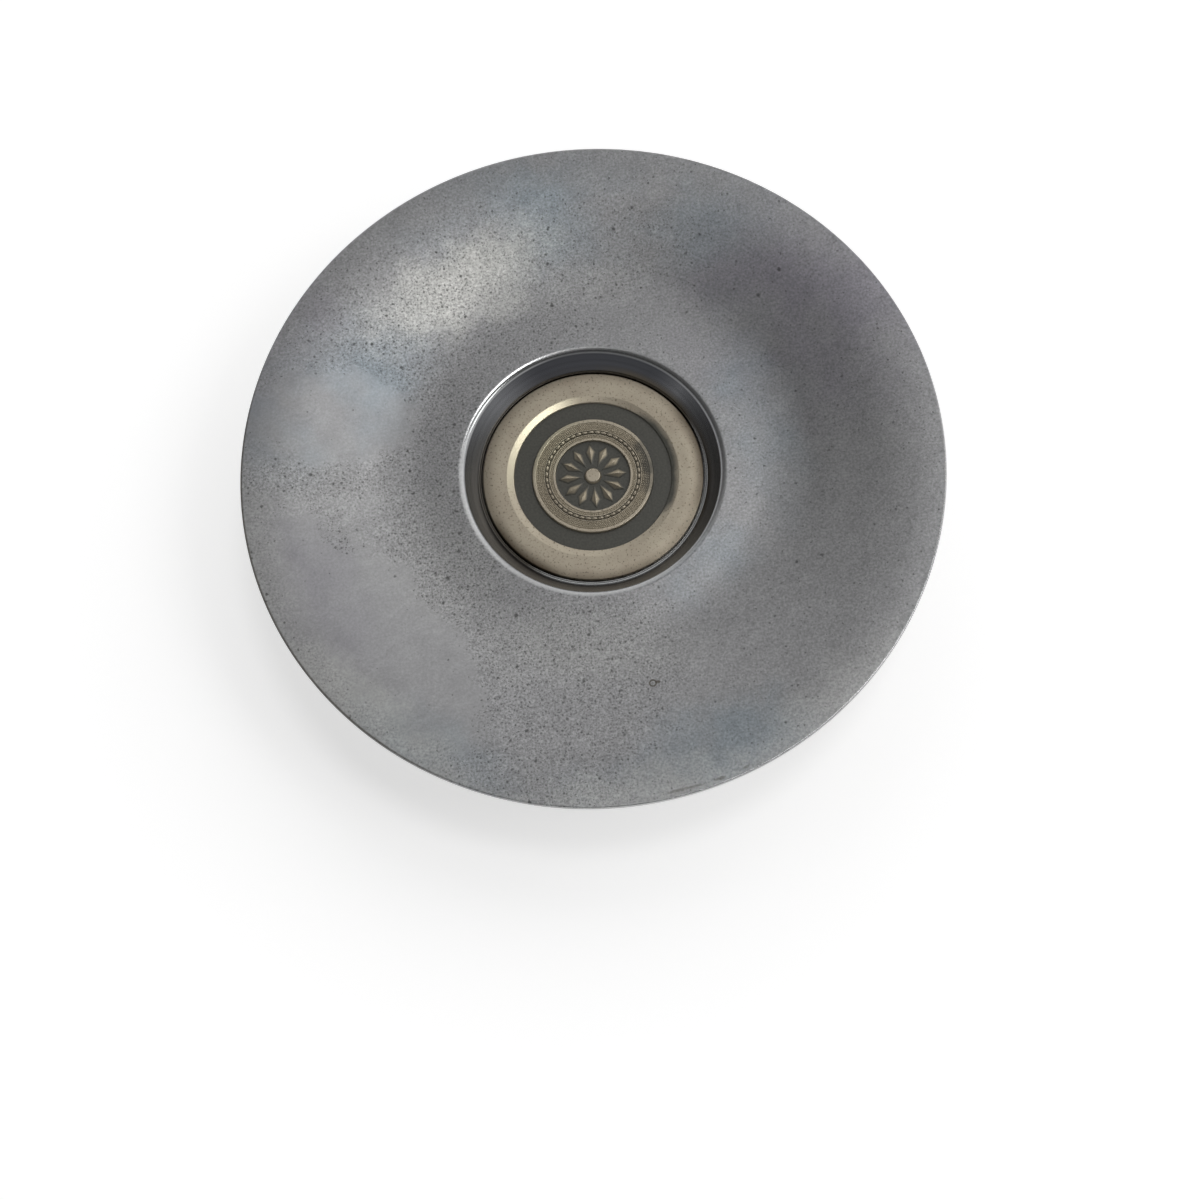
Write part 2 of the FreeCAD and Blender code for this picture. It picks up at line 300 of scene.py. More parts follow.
# Patches are (x, y, half length, half width, turn, strength) in mm on the face
dishFinish = {
    "metal": "#949495", "plum": "#8a888e", "blue": "#8a9196", "oxidisedHighlightTone": "#bfbfbb", "pit": "#2b2a28",
    "brownStainAndShade": "#4c463c", "well": "#77787b", "wellShade": "#333438", "lip": "#b8b9b9", "cast": "#8a8986",
    "roughness": 0.40, "wellRoughness": 0.24, "rubbedRoughness": 0.17, "pitRoughness": 0.75,
    # Pattern sizes in mm, a drift as (size, reach, detail of its noise)
    "cloudSize": 30, "clumpSize": 3.2, "grainSize": 0.6, "mottleSize": 6, "turningSize": 0.8,
    "streakLength": 16, "streakWidth": 0.9, "streakTurn": 40, "reliefDepth": 0.05,
    "patchDrift": (11, 14, 5), "pitDrift": (0.8, 0.55, 1),
    # How far the patterns swing the colour, and how far the pits go down against the grain
    "streakReach": 0.22, "mottleReach": 0.25, "turningReach": 0.55, "scuffReach": 0.22,
    "reliefStrength": 0.25, "pitRelief": -1.6,
    "pitted": [
        (-30, 47, 40, 24, 25, 0.62), (-39, 4, 14, 34, -12, 1.0), (-12, -54, 27, 25, -5, 0.95),
        (-20, -80, 22, 9, -12, 0.60), (-68, 3.5, 22, 4.5, -4, 0.85), (6, 62, 34, 14, -8, 0.40),
        (-39, -20, 12, 20, 35, 1.35),
    ],
    "strip": [(-67, -10.5, 9.5, 3.0, -66, 0.80)],
    "wiped": [(-65, 21, 22, 12.5, -4, 1.0), (-57, -38, 38, 15, -56, 1.0)],
    "oxidisedAndHighlit": [(-29.2, 55, 23, 9.5, 24, 0.82), (-40, -20, 14, 20, 35, 0.16), (-68, 0, 20, 12, 0, 0.12),
             (-8, -46, 24, 9, -10, 0.22), (0, 53, 18, 6, 0, 0.12),
             (-62, -58, 30, 7, -45, 0.36), (5, -85, 30, 5, 4, 0.28), (50, -70, 28, 6, 37, 0.20),
             (-83, -22, 7, 26, 15, 0.22)],
    "bluish": [(-62, 28, 26, 14, 40, 1.0), (4, 69, 42, 14, -6, 0.95), (44, 12, 9, 26, 10, 0.7),
               (20, -76, 30, 9, 12, 0.9), (-48, -68, 22, 8, -36, 0.8), (26, -30, 12, 8, 30, 0.7)],
    "plumish": [(58, 36, 32, 24, -40, 1.0), (-78, 40, 12, 24, -25, 0.6), (-70, -30, 10, 24, 20, 0.5)],
    "scuffed": [(43, 50, 22, 14, -40, 1.0)],
    "pitBase": 0.10,
    "finePits": {"cell": 0.72, "small": 0.16, "large": 0.34, "lean": 1.5, "depth": 0.30, "share": 1.0},
    "midPits": {"cell": 1.45, "small": 0.20, "large": 0.48, "lean": 2.2, "depth": 0.50, "share": 0.9},
    "bigPits": {"cell": 6.0, "small": 0.35, "large": 0.75, "lean": 1.5, "depth": 0.60, "share": 0.5},
    "ringStain": (8.8, -58.4, 0.8, 0.26, 0.75),  # x, y, radius, then the ring's width and strength
    "nicks": [(13.5, -86.3, 5.0, 0.32, 8, 0.36), (21.9, -84.8, 1.3, 0.4, 14, 0.50),
              (28.5, -82.7, 0.9, 0.35, 18, 0.40), (10.2, -58.2, 0.5, 0.4, 0, 0.8)],
    "lipPaintedHighlight": [(-23.5, 24, 18, 12, 44, 1.0)],
    "shaded": [(5, 31, 32, 11, -6, 0.9), (31, 3, 10, 30, 0, 0.55)],
    "rimPaintedHighlight": [(58, -56, 75, 36, 45, 0.65), (-20, 86, 60, 14, 12, 0.5)],
    "rimPaintedShade": [(-80, -28, 26, 66, 18, 0.6)],
    "ledgePaintedHighlight": [(12, -20, 34, 18, 38, 1.0)], "ledgeDarkening": 0.8,
    "footDarkening": [(20, 22, 17, 9, -45, 0.85), (-20, -23, 16, 8, -50, 0.3), (30, -4, 9, 16, 0, 0.7)],
    "wellRadius": 33.15, "lipRadius": 33.45, "ledgeRadius": 29.5, "rimRadius": 88.5,
}


def wornAluminium(s):
    # Cast aluminium, turned and polished, then decades of road salt and rags: satin shine with faint
    # bluish and plum clouds, drifts of fine dark pits, and smoother swipes where pits were rubbed away
    material, tree = newMaterial("worn cast aluminium")
    coords = addNode(tree, "TexCoord")
    place = coords.outputs["Object"]
    flat = addNode(tree, "VectorMath", {0: place, 1: (1, 1, 0)}, operation="MULTIPLY")
    radius = addNode(tree, "VectorMath", {0: flat}, operation="LENGTH")
    facing = addNode(tree, "SeparateXYZ", {0: coords.outputs["Normal"]})
    face = addNode(tree, "MapRange", {
        "Value": facing.outputs["Z"], "From Min": 0.55, "From Max": 0.85})
    # Pits, marks and relief stop at the lip of the well
    beyondLip = addNode(tree, "MapRange", {
        "Value": radius, "From Min": (s["lipRadius"] + 0.2) * mm, "From Max": (s["lipRadius"] + 0.9) * mm})
    face = addNode(tree, "Math", {0: face, 1: beyondLip}, operation="MULTIPLY")

    # Patch edges wander by a few millimetres, pits by a fraction of one
    where = wandering(tree, flat, *s["patchDrift"])
    pitPlace = wandering(tree, flat, *s["pitDrift"])

    # How thickly the pits lie
    pitted = strongestPatch(tree, where, s["pitted"], s["pitBase"], blur=0.45)
    wiped = strongestPatch(tree, where, s["wiped"], blur=0.13)
    kept = addNode(tree, "MapRange", {"Value": wiped, "To Min": 1.0, "To Max": 0.04})
    left = addNode(tree, "Math", {0: pitted, 1: kept}, operation="MULTIPLY")
    density = addNode(tree, "Math", {
        0: left, 1: strongestPatch(tree, where, s["strip"], blur=0.3)}, operation="MAXIMUM")
    density = addNode(tree, "Math", {0: density, 1: face}, operation="MULTIPLY")
    clumps = addNode(tree, "TexNoise", {
        "Vector": flat, "Scale": perSize(s["clumpSize"]), "Detail": 3.0}, noise_dimensions="2D")
    clumped = addNode(tree, "MapRange", {
        "Value": clumps, "From Min": 0.35, "From Max": 0.65, "To Min": 0.45, "To Max": 1.45})
    thickness = addNode(tree, "Math", {0: density, 1: clumped}, operation="MULTIPLY")
    pits = 0.0
    for layer in ("finePits", "midPits", "bigPits"):
        pits = addNode(tree, "Math", {
            0: pits, 1: pitLayer(tree, pitPlace, thickness, s[layer])}, operation="MAXIMUM")

    # Colour: clouds of tarnish, oxidised patches that also carry a painted highlight, grain, then the pits
    clouds = addNode(tree, "TexNoise", {
        "Vector": flat, "Scale": perSize(s["cloudSize"]), "Detail": 4.0, "Roughness": 0.55},
        noise_dimensions="2D")
    cloudy = addNode(tree, "MapRange", {"Value": clouds, "From Min": 0.30, "From Max": 0.65})
    color = hexColor(s["metal"])
    for tint, patches in (("plum", "plumish"), ("blue", "bluish")):
        tinted = strongestPatch(tree, where, s[patches], blur=0.6)
        share = addNode(tree, "Math", {0: tinted, 1: cloudy}, operation="MULTIPLY")
        color = addNode(tree, "Mix", {0: share, 6: color, 7: hexColor(s[tint])}, data_type="RGBA")
    # Lighter oxidised patches, strongest where they paint the highlight high on the left flank and a
    # painted sheen along the lower rim
    oxidisedAndHighlit = strongestPatch(tree, where, s["oxidisedAndHighlit"], blur=0.7)
    color = addNode(tree, "Mix", {0: oxidisedAndHighlit, 6: color, 7: hexColor(s["oxidisedHighlightTone"])}, data_type="RGBA")
    grain = addNode(tree, "TexNoise", {
        "Vector": place, "Scale": perSize(s["grainSize"]), "Detail": 2.0, "Roughness": 0.6})
    scuffed = strongestPatch(tree, where, s["scuffed"], 0.12, blur=0.6)
    grainReach = addNode(tree, "MapRange", {
        "Value": density, "From Max": 0.6, "To Min": 1.05, "To Max": 1.5})
    smoothed = addNode(tree, "MapRange", {"Value": wiped, "To Min": 1.0, "To Max": 0.45})
    grainReach = addNode(tree, "Math", {0: grainReach, 1: smoothed}, operation="MULTIPLY")
    # Streaks where a rag was drawn across, and a soft mottle
    stroke = addNode(tree, "Mapping", {
        "Vector": where, "Rotation": (0, 0, math.radians(s["streakTurn"])),
        "Scale": (s["streakLength"] * mm, s["streakWidth"] * mm, 1)}, vector_type="TEXTURE")
    streaks = addNode(tree, "TexNoise", {
        "Vector": stroke, "Scale": 1.0, "Detail": 3.0}, noise_dimensions="2D")
    mottle = addNode(tree, "TexNoise", {
        "Vector": flat, "Scale": perSize(s["mottleSize"]), "Detail": 5.0, "Roughness": 0.6},
        noise_dimensions="2D")
    patterns = ((grain, grainReach), (streaks, s["streakReach"]), (mottle, s["mottleReach"]))
    for pattern, reach in patterns:
        swing = addNode(tree, "Math", {0: pattern, 1: 0.5}, operation="SUBTRACT")
        gain = addNode(tree, "Math", {0: swing, 1: reach, 2: 1.0}, operation="MULTIPLY_ADD")
        color = addNode(tree, "VectorMath", {0: color, "Scale": gain}, operation="SCALE")
    color = addNode(tree, "Mix", {0: pits, 6: color, 7: hexColor(s["pit"])}, data_type="RGBA")

    # The well's wall stays smooth and darker, with painted shade on its top and right sides, browner at
    # its foot
    inWell = addNode(tree, "MapRange", {
        "Value": radius, "From Min": (s["wellRadius"] + 0.3) * mm,
        "From Max": (s["wellRadius"] - 0.5) * mm})
    # Painted shade: the wall's top and right sides are darkened
    wall = addNode(tree, "Mix", {
        0: strongestPatch(tree, flat, s["shaded"], blur=0.5),
        6: hexColor(s["well"]), 7: hexColor(s["wellShade"])}, data_type="RGBA")
    color = addNode(tree, "Mix", {0: inWell, 6: color, 7: wall}, data_type="RGBA")
    # The foot of the wall darkens towards brown, most on the upper right
    foot = addNode(tree, "MapRange", {
        "Value": radius, "From Min": (s["ledgeRadius"] + 1.2) * mm,
        "From Max": (s["ledgeRadius"] + 0.1) * mm})
    foot = addNode(tree, "Math", {
        0: foot, 1: strongestPatch(tree, where, s["footDarkening"], 0.1, blur=0.5)}, operation="MULTIPLY")
    color = addNode(tree, "Mix", {0: foot, 6: color, 7: hexColor(s["brownStainAndShade"])}, data_type="RGBA")

    # The lip of the well is polished by the rag, with a painted highlight on one side; the ledge and the
    # rim's edge carry painted highlights
    offLip = addNode(tree, "Math", {0: radius, 1: s["lipRadius"] * mm}, operation="SUBTRACT")
    offLip = addNode(tree, "Math", {0: offLip}, operation="ABSOLUTE")
    lip = addNode(tree, "MapRange", {"Value": offLip, "From Min": 0.95 * mm, "From Max": 0.5 * mm})
    lip = addNode(tree, "Math", {
        0: lip, 1: strongestPatch(tree, flat, s["lipPaintedHighlight"], 0.35, blur=0.5)}, operation="MULTIPLY")
    # Painted highlight along the rim's edge, low on the right and at the top
    edge = addNode(tree, "MapRange", {
        "Value": radius, "From Min": (s["rimRadius"] - 0.2) * mm, "From Max": (s["rimRadius"] + 0.1) * mm})
    rimEdgeHighlight = addNode(tree, "Math", {
        0: edge, 1: strongestPatch(tree, where, s["rimPaintedHighlight"], blur=0.4)}, operation="MULTIPLY")
    # Painted shade darkens the rim's edge on the left
    rimEdgeShade = addNode(tree, "Math", {
        0: edge, 1: strongestPatch(tree, where, s["rimPaintedShade"], blur=0.4)}, operation="MULTIPLY")
    # The ledge and the pocket round the medallion are darkened all round
    ledge = addNode(tree, "Math", {0: radius, 1: s["ledgeRadius"] * mm}, operation="LESS_THAN")
    ledgeDarkening = addNode(tree, "Math", {0: ledge, 1: s["ledgeDarkening"]}, operation="MULTIPLY")
    color = addNode(tree, "Mix", {0: ledgeDarkening, 6: color, 7: hexColor(s["brownStainAndShade"])}, data_type="RGBA")
    ledgeHighlight = addNode(tree, "Math", {
        0: ledge, 1: strongestPatch(tree, where, s["ledgePaintedHighlight"], blur=0.3)}, operation="MULTIPLY")
    polishedAndHighlit = addNode(tree, "Math", {0: lip, 1: ledgeHighlight}, operation="MAXIMUM")
    polishedAndHighlit = addNode(tree, "Math", {0: polishedAndHighlit, 1: rimEdgeHighlight}, operation="MAXIMUM")
    color = addNode(tree, "Mix", {0: polishedAndHighlit, 6: color, 7: hexColor(s["lip"])}, data_type="RGBA")

    # A drop's dried ring, low on the dish
    stainX, stainY, stainRadius, stainWidth, stainStrength = s["ringStain"]
    drop = addNode(tree, "Mapping", {
        "Vector": flat, "Location": (stainX * mm, stainY * mm, 0),
        "Scale": (stainRadius * mm, stainRadius * mm, 1)}, vector_type="TEXTURE")
    dropReach = addNode(tree, "VectorMath", {0: drop}, operation="LENGTH")
    dropRing = addNode(tree, "Math", {0: dropReach, 1: 1.0, 2: stainWidth}, operation="COMPARE")
    dropShare = addNode(tree, "Math", {0: dropRing, 1: stainStrength}, operation="MULTIPLY")
    marksAndRimShade = addNode(tree, "Math", {
        0: dropShare, 1: strongestPatch(tree, pitPlace, s["nicks"], blur=0.4)}, operation="MAXIMUM")
    marksAndRimShade = addNode(tree, "Math", {0: marksAndRimShade, 1: face}, operation="MULTIPLY")
    # The painted shade on the rim's edge joins the marks, in the same dark brown
    marksAndRimShade = addNode(tree, "Math", {0: marksAndRimShade, 1: rimEdgeShade}, operation="MAXIMUM")
    color = addNode(tree, "Mix", {0: marksAndRimShade, 6: color, 7: hexColor(s["brownStainAndShade"])}, data_type="RGBA")

    # The back was only turned, and has dulled
    backSide = addNode(tree, "MapRange", {
        "Value": facing.outputs["Z"], "From Min": -0.2, "From Max": -0.6})
    color = addNode(tree, "Mix", {0: backSide, 6: color, 7: hexColor(s["cast"])}, data_type="RGBA")

    # Turning marks: fine rings, faint on the face, plain to see in the well, on the back and where scuffed
    outward = addNode(tree, "Math", {0: radius, 1: perSize(s["turningSize"])}, operation="MULTIPLY")
    rings = addNode(tree, "TexNoise", {
        "W": outward, "Scale": 1.0, "Detail": 2.0}, noise_dimensions="1D")
    ringSwing = addNode(tree, "Math", {0: rings, 1: 0.5}, operation="SUBTRACT")
    turned = addNode(tree, "Math", {0: backSide, 1: inWell}, operation="MAXIMUM")
    ringReach = addNode(tree, "Mix", {
        0: turned, 2: addNode(tree, "Math", {0: scuffed, 1: s["scuffReach"]}, operation="MULTIPLY"),
        3: s["turningReach"]})
    ringGain = addNode(tree, "Math", {0: ringSwing, 1: ringReach, 2: 1.0}, operation="MULTIPLY_ADD")
    color = addNode(tree, "VectorMath", {0: color, "Scale": ringGain}, operation="SCALE")

    # Gloss: pits and their drifts are dull, the well's wall shines, and the rubbed edges shine most
    gloss = addNode(tree, "MapRange", {
        "Value": density, "From Max": 0.7,
        "To Min": s["roughness"] - 0.02, "To Max": s["roughness"] + 0.05})
    gloss = addNode(tree, "Mix", {0: inWell, 2: gloss, 3: s["wellRoughness"]})
    gloss = addNode(tree, "Mix", {0: polishedAndHighlit, 2: gloss, 3: s["rubbedRoughness"]})
    gloss = addNode(tree, "Mix", {0: pits, 2: gloss, 3: s["pitRoughness"]})
    relief = addNode(tree, "Math", {0: pits, 1: s["pitRelief"], 2: grain}, operation="MULTIPLY_ADD")
    strength = addNode(tree, "MapRange", {
        "Value": polishedAndHighlit, "From Max": 0.2, "To Min": s["reliefStrength"], "To Max": 0.0})
    strength = addNode(tree, "Math", {0: strength, 1: beyondLip}, operation="MULTIPLY")
    bump = addNode(tree, "Bump", {
        "Height": relief, "Strength": strength, "Distance": s["reliefDepth"] * mm})
    shader = addNode(tree, "BsdfPrincipled", {
        "Base Color": color, "Metallic": 1.0, "Roughness": gloss, "Normal": bump})
    addNode(tree, "OutputMaterial", {"Surface": shader})
    return material


dish = makeDish(dishSizes)
dress(dish, "face_dish", wornAluminium(dishFinish))


# Medallion: struck disc with a plain annulus, a dark sunk ring and a rosette inside a corded border
medallionSizes = {
    "radius": 28.5, "back": 4.2, "backRound": 0.2, "face": 6.5, "edgeRound": 0.4,
    "crown": 6.62, "crownRadius": 25.4, "crownRound": 40,
    "annulusInner": 22.2, "annulusLip": 6.56, "annulusRound": 1.6,
    "bevelFoot": 20.45, "bevelLow": 6.24, "bevelRound": 0.12,
    "sunkOuter": 20.2, "sunk": 5.7, "sunkRound": 0.1,
    "discRadius": 15.8, "discLip": 6.42, "discLean": 0.3, "discRound": 0.2, "ground": 6.26,
    # Channels in the centre disc, from the outside: edge, foot, foot and edge, each (radius, round)
    "channels": [((14.75, 0.15), (14.60, 0.05), (12.75, 0.05), (12.63, 0.04)),
                 ((12.46, 0.04), (12.40, 0.03), (11.36, 0.03), (11.30, 0.04)),
                 ((11.12, 0.04), (11.05, 0.03), (10.35, 0.05), (10.25, 0.05))],
    "eyeRadius": 9.7, "eyeLean": 0.2, "eyeRound": 0.12, "eyeFootRound": 0.2,
    "buttonRadius": 2.3, "buttonTop": 6.52, "buttonLean": 0.5, "buttonRound": 0.3, "buttonFootRound": 0.12,
    "steps": 256,
    "cord": {"radius": 11.9, "count": 46, "length": 0.78, "width": 0.36, "height": 0.42, "slant": 42,
             "centre": 6.42},
    "granules": {"rings": (10.7, 13.02, 13.46, 13.90, 14.34), "pitch": 0.47, "size": 0.23, "flatten": 0.75,
                 "uneven": 0.03},
    "petals": {"count": 12, "inner": 2.3, "shoulder": 6.6, "outer": 9.2, "halfWidth": 1.5, "height": 0.75,
               "ridgeRound": 0.12},
    "posts": {"count": 4, "circle": 18.0, "radius": 1.5, "tip": -2.2, "tipRound": 0.3, "sunkIn": 0.3},
}


def makeMedallionBody(s):
    corners = [
        (0, s["back"]),
        (s["radius"], s["back"], s["backRound"]),
        (s["radius"], s["face"], s["edgeRound"]),
        (s["crownRadius"], s["crown"], s["crownRound"]),
        (s["annulusInner"], s["annulusLip"], s["annulusRound"]),
        (s["bevelFoot"], s["bevelLow"], s["bevelRound"]),
        (s["sunkOuter"], s["sunk"], s["sunkRound"]),
        (s["discRadius"], s["sunk"], s["discRound"]),
        (s["discRadius"] - s["discLean"], s["discLip"], s["discRound"]),
    ]
    for channel in s["channels"]:
        for (radius, fillet), level in zip(channel, ("discLip", "ground", "ground", "discLip")):
            corners.append((radius, s[level], fillet))
    corners += [
        (s["eyeRadius"], s["discLip"], s["eyeRound"]),
        (s["eyeRadius"] - s["eyeLean"], s["sunk"], s["eyeFootRound"]),
        (s["buttonRadius"], s["sunk"], s["buttonFootRound"]),
        (s["buttonRadius"] - s["buttonLean"], s["buttonTop"], s["buttonRound"]),
        (0, s["buttonTop"]),
    ]
    return spinOutline("struckMedallion", roundedOutline(corners, turnStep=12, support=0.02), s["steps"])


def makeCord(s):
    # Slanted beads that lie like the strands of a rope
    bpy.ops.mesh.primitive_uv_sphere_add(segments=12, ring_count=8, radius=mm)
    bead = bpy.context.object
    bead.scale = (s["width"], s["length"], s["height"])
    bead.rotation_euler.z = math.radians(s["slant"])
    bead.location = (s["radius"] * mm, 0, s["centre"] * mm)
    spinCopies(bead, s["count"])
    bpy.ops.object.shade_smooth()
    return bead


def makeGranules(s, ground):
    # Rings of small domes, slightly uneven as struck dies leave them
    rings = []
    for index, radius in enumerate(s["rings"]):
        count = round(math.tau * radius / s["pitch"])
        bpy.ops.mesh.primitive_ico_sphere_add(subdivisions=1, radius=s["size"] * mm)
        dome = bpy.context.object
        dome.scale.z = s["flatten"]
        dome.location = (radius * mm, 0, ground * mm)
        spinCopies(dome, count, 180 / count * (index % 2))
        rings.append(dome)
    joinInto(rings[0], rings[1:])
    bpy.ops.object.mode_set(mode="EDIT")
    bpy.ops.mesh.select_all(action="SELECT")
    bpy.ops.transform.vertex_random(offset=s["uneven"] * mm, seed=5)
    bpy.ops.object.mode_set(mode="OBJECT")
    bpy.ops.object.shade_smooth()
    return rings[0]


def makePetals(s, sunk):
    # A four-sided point of 1 mm radius, its corners pulled out to a kite and its ridges softened
    bpy.ops.mesh.primitive_cone_add(vertices=4, radius1=mm, radius2=0, depth=s["height"] * mm)
    petal = bpy.context.object
    petal.location = (s["shoulder"] * mm, 0, (sunk + s["height"] / 2) * mm)
    bpy.ops.object.transform_apply()
    tips = {
        "inner": (lambda v: v.x < s["shoulder"] - 0.5, (s["inner"] - s["shoulder"] + 1, 0)),
        "outer": (lambda v: v.x > s["shoulder"] + 0.5, (s["outer"] - s["shoulder"] - 1, 0)),
        "left": (lambda v: v.y > 0.5, (0, s["halfWidth"] - 1)),
        "right": (lambda v: v.y < -0.5, (0, 1 - s["halfWidth"])),
    }
    for wanted, (moveX, moveY) in tips.values():
        pickVertices(petal, wanted)
        bpy.ops.transform.translate(value=(moveX * mm, moveY * mm, 0))
        bpy.ops.object.mode_set(mode="OBJECT")
    roundEdges(s["ridgeRound"])
    spinCopies(petal, s["count"])
    return petal


def makePosts(s, back):
    # Rivet posts struck with the disc, their ends rounded
    length = back + s["sunkIn"] - s["tip"]
    bpy.ops.mesh.primitive_cylinder_add(vertices=32, radius=s["radius"] * mm, depth=length * mm)
    post = bpy.context.object
    post.location = (s["circle"] * mm, 0, (s["tip"] + length / 2) * mm)
    bpy.ops.object.transform_apply()
    roundEdges(s["tipRound"], segments=3, sharpness=60)
    spinCopies(post, s["count"])
    return post


medallionFinish = {
    "brass": "#b0a796", "bright": "#b9b29c", "shade": "#a69c8c", "filler": "#44433c", "patina": "#8f8674",
    "outerBrown": "#4d4337", "speck": "#5f584c", "brightRoughness": 0.30, "fillerRoughness": 0.42,
    "cloudSize": 9, "grainSize": 0.6, "dirtDrift": (5, 4, 4),  # as in the dish
    # Filler over the sunk floor, in mm
    "fillBase": 0.10, "fillSwing": 0.35, "darkClimb": 0.5, "fillBlend": 0.14,
    "bevelPaintedHighlight": [(-16.5, 13.5, 16, 12, 42, 1.0)], "bevelDarkened": [(19, 0, 7, 17, 8, 1.0)],
    "outerDarkening": [(-20, -20, 14, 8, -48, 1.0), (25, 3, 7, 16, 0, 0.9), (2, -27, 16, 5, 0, 0.7)],
}


def champagneBrass(s, sizes):
    # Struck brass under thin nickel gone champagne: dull satin on the flats, a rubbed bevel with a painted
    # highlight on one side, darker brown towards the rim, dark filler in the sunk ring and the eye
    material, tree = newMaterial("struck champagne brass")
    coords = addNode(tree, "TexCoord")
    place = coords.outputs["Object"]
    flat = addNode(tree, "VectorMath", {0: place, 1: (1, 1, 0)}, operation="MULTIPLY")
    radius = addNode(tree, "VectorMath", {0: flat}, operation="LENGTH")
    parts = addNode(tree, "SeparateXYZ", {0: place})
    height = parts.outputs["Z"]

    clouds = addNode(tree, "TexNoise", {
        "Vector": flat, "Scale": perSize(s["cloudSize"]), "Detail": 5.0, "Roughness": 0.6},
        noise_dimensions="2D")
    cloudShare = addNode(tree, "MapRange", {"Value": clouds, "From Min": 0.35, "From Max": 0.75})
    color = addNode(tree, "Mix", {
        0: cloudShare, 6: hexColor(s["brass"]), 7: hexColor(s["shade"])}, data_type="RGBA")
    grain = addNode(tree, "TexNoise", {
        "Vector": flat, "Scale": perSize(s["grainSize"]), "Detail": 3.0}, noise_dimensions="2D")
    specks = addNode(tree, "MapRange", {
        "Value": grain, "From Min": 0.60, "From Max": 0.74, "To Max": 0.75})
    color = addNode(tree, "Mix", {0: specks, 6: color, 7: hexColor(s["speck"])}, data_type="RGBA")

    # The bevel down to the sunk ring is rubbed, and carries a painted highlight on one side
    bevelIn = addNode(tree, "MapRange", {
        "Value": radius, "From Min": (sizes["annulusInner"] + 0.25) * mm,
        "From Max": (sizes["annulusInner"] - 0.15) * mm})
    where = wandering(tree, flat, *s["dirtDrift"])
    bevelHighlight = addNode(tree, "Math", {
        0: bevelIn, 1: strongestPatch(tree, flat, s["bevelPaintedHighlight"], blur=0.4)}, operation="MULTIPLY")
    color = addNode(tree, "Mix", {0: bevelHighlight, 6: color, 7: hexColor(s["bright"])}, data_type="RGBA")

    # Patina between the granules, darker brown towards the rim
    low = addNode(tree, "MapRange", {
        "Value": height, "From Min": (sizes["ground"] + 0.16) * mm,
        "From Max": (sizes["ground"] + 0.02) * mm, "To Max": 0.75})
    inDisc = addNode(tree, "Math", {0: radius, 1: sizes["discRadius"] * mm}, operation="LESS_THAN")
    patina = addNode(tree, "Math", {0: low, 1: inDisc}, operation="MULTIPLY")
    color = addNode(tree, "Mix", {0: patina, 6: color, 7: hexColor(s["patina"])}, data_type="RGBA")
    channel = addNode(tree, "Math", {
        0: radius, 1: sizes["cord"]["radius"] * mm, 2: 0.6 * mm}, operation="COMPARE")
    channelDirt = addNode(tree, "Math", {0: channel, 1: patina}, operation="MULTIPLY")
    color = addNode(tree, "Mix", {
        0: channelDirt, 6: color, 7: hexColor(s["filler"])}, data_type="RGBA")
    rim = addNode(tree, "MapRange", {
        "Value": radius, "From Min": (sizes["radius"] - 3.4) * mm,
        "From Max": (sizes["radius"] + 0.3) * mm}, interpolation_type="SMOOTHSTEP")
    outerDarkening = addNode(tree, "Math", {
        0: rim, 1: strongestPatch(tree, where, s["outerDarkening"], 0.45, blur=0.5)}, operation="MULTIPLY")
    color = addNode(tree, "Mix", {0: outerDarkening, 6: color, 7: hexColor(s["outerBrown"])}, data_type="RGBA")

    # Filler lies in what is sunk below the annulus, and its dark colour reaches higher up the bevel on one
    # side
    fillTop = addNode(tree, "Math", {
        0: clouds, 1: s["fillSwing"] * mm, 2: (sizes["sunk"] + s["fillBase"]) * mm},
        operation="MULTIPLY_ADD")
    bevelDarkened = addNode(tree, "Math", {
        0: strongestPatch(tree, where, s["bevelDarkened"], blur=0.5), 1: bevelIn}, operation="MULTIPLY")
    fillTop = addNode(tree, "Math", {
        0: bevelDarkened, 1: s["darkClimb"] * mm, 2: fillTop}, operation="MULTIPLY_ADD")
    above = addNode(tree, "Math", {0: height, 1: fillTop}, operation="SUBTRACT")
    filled = addNode(tree, "MapRange", {
        "Value": above, "From Min": s["fillBlend"] * mm, "From Max": -s["fillBlend"] * mm})
    inBevel = addNode(tree, "Math", {
        0: radius, 1: sizes["annulusInner"] * mm}, operation="LESS_THAN")
    filler = addNode(tree, "Math", {0: filled, 1: inBevel}, operation="MULTIPLY")
    fillerTone = addNode(tree, "MapRange", {"Value": grain, "To Min": 0.6, "To Max": 1.4})
    fillerColor = addNode(tree, "VectorMath", {
        0: hexColor(s["filler"])[:3], "Scale": fillerTone}, operation="SCALE")
    color = addNode(tree, "Mix", {0: filler, 6: color, 7: fillerColor}, data_type="RGBA")

    metal = addNode(tree, "MapRange", {"Value": filler, "To Min": 1.0, "To Max": 0.0})
    gloss = addNode(tree, "MapRange", {"Value": clouds, "To Min": 0.36, "To Max": 0.50})
    gloss = addNode(tree, "Mix", {0: bevelHighlight, 2: gloss, 3: s["brightRoughness"]})
    gloss = addNode(tree, "Mix", {0: filler, 2: gloss, 3: s["fillerRoughness"]})
    bump = addNode(tree, "Bump", {"Height": grain, "Strength": 0.25, "Distance": 0.06 * mm})
    shader = addNode(tree, "BsdfPrincipled", {
        "Base Color": color, "Metallic": metal, "Roughness": gloss, "Normal": bump})
    addNode(tree, "OutputMaterial", {"Surface": shader})
    return material


def makeMedallion(s):
    body = makeMedallionBody(s)
    extras = [makeCord(s["cord"]), makeGranules(s["granules"], s["ground"]),
              makePetals(s["petals"], s["sunk"]), makePosts(s["posts"], s["back"])]
    joinInto(body, extras)
    return body


medallion = makeMedallion(medallionSizes)
dress(medallion, "medallion", champagneBrass(medallionFinish, medallionSizes))


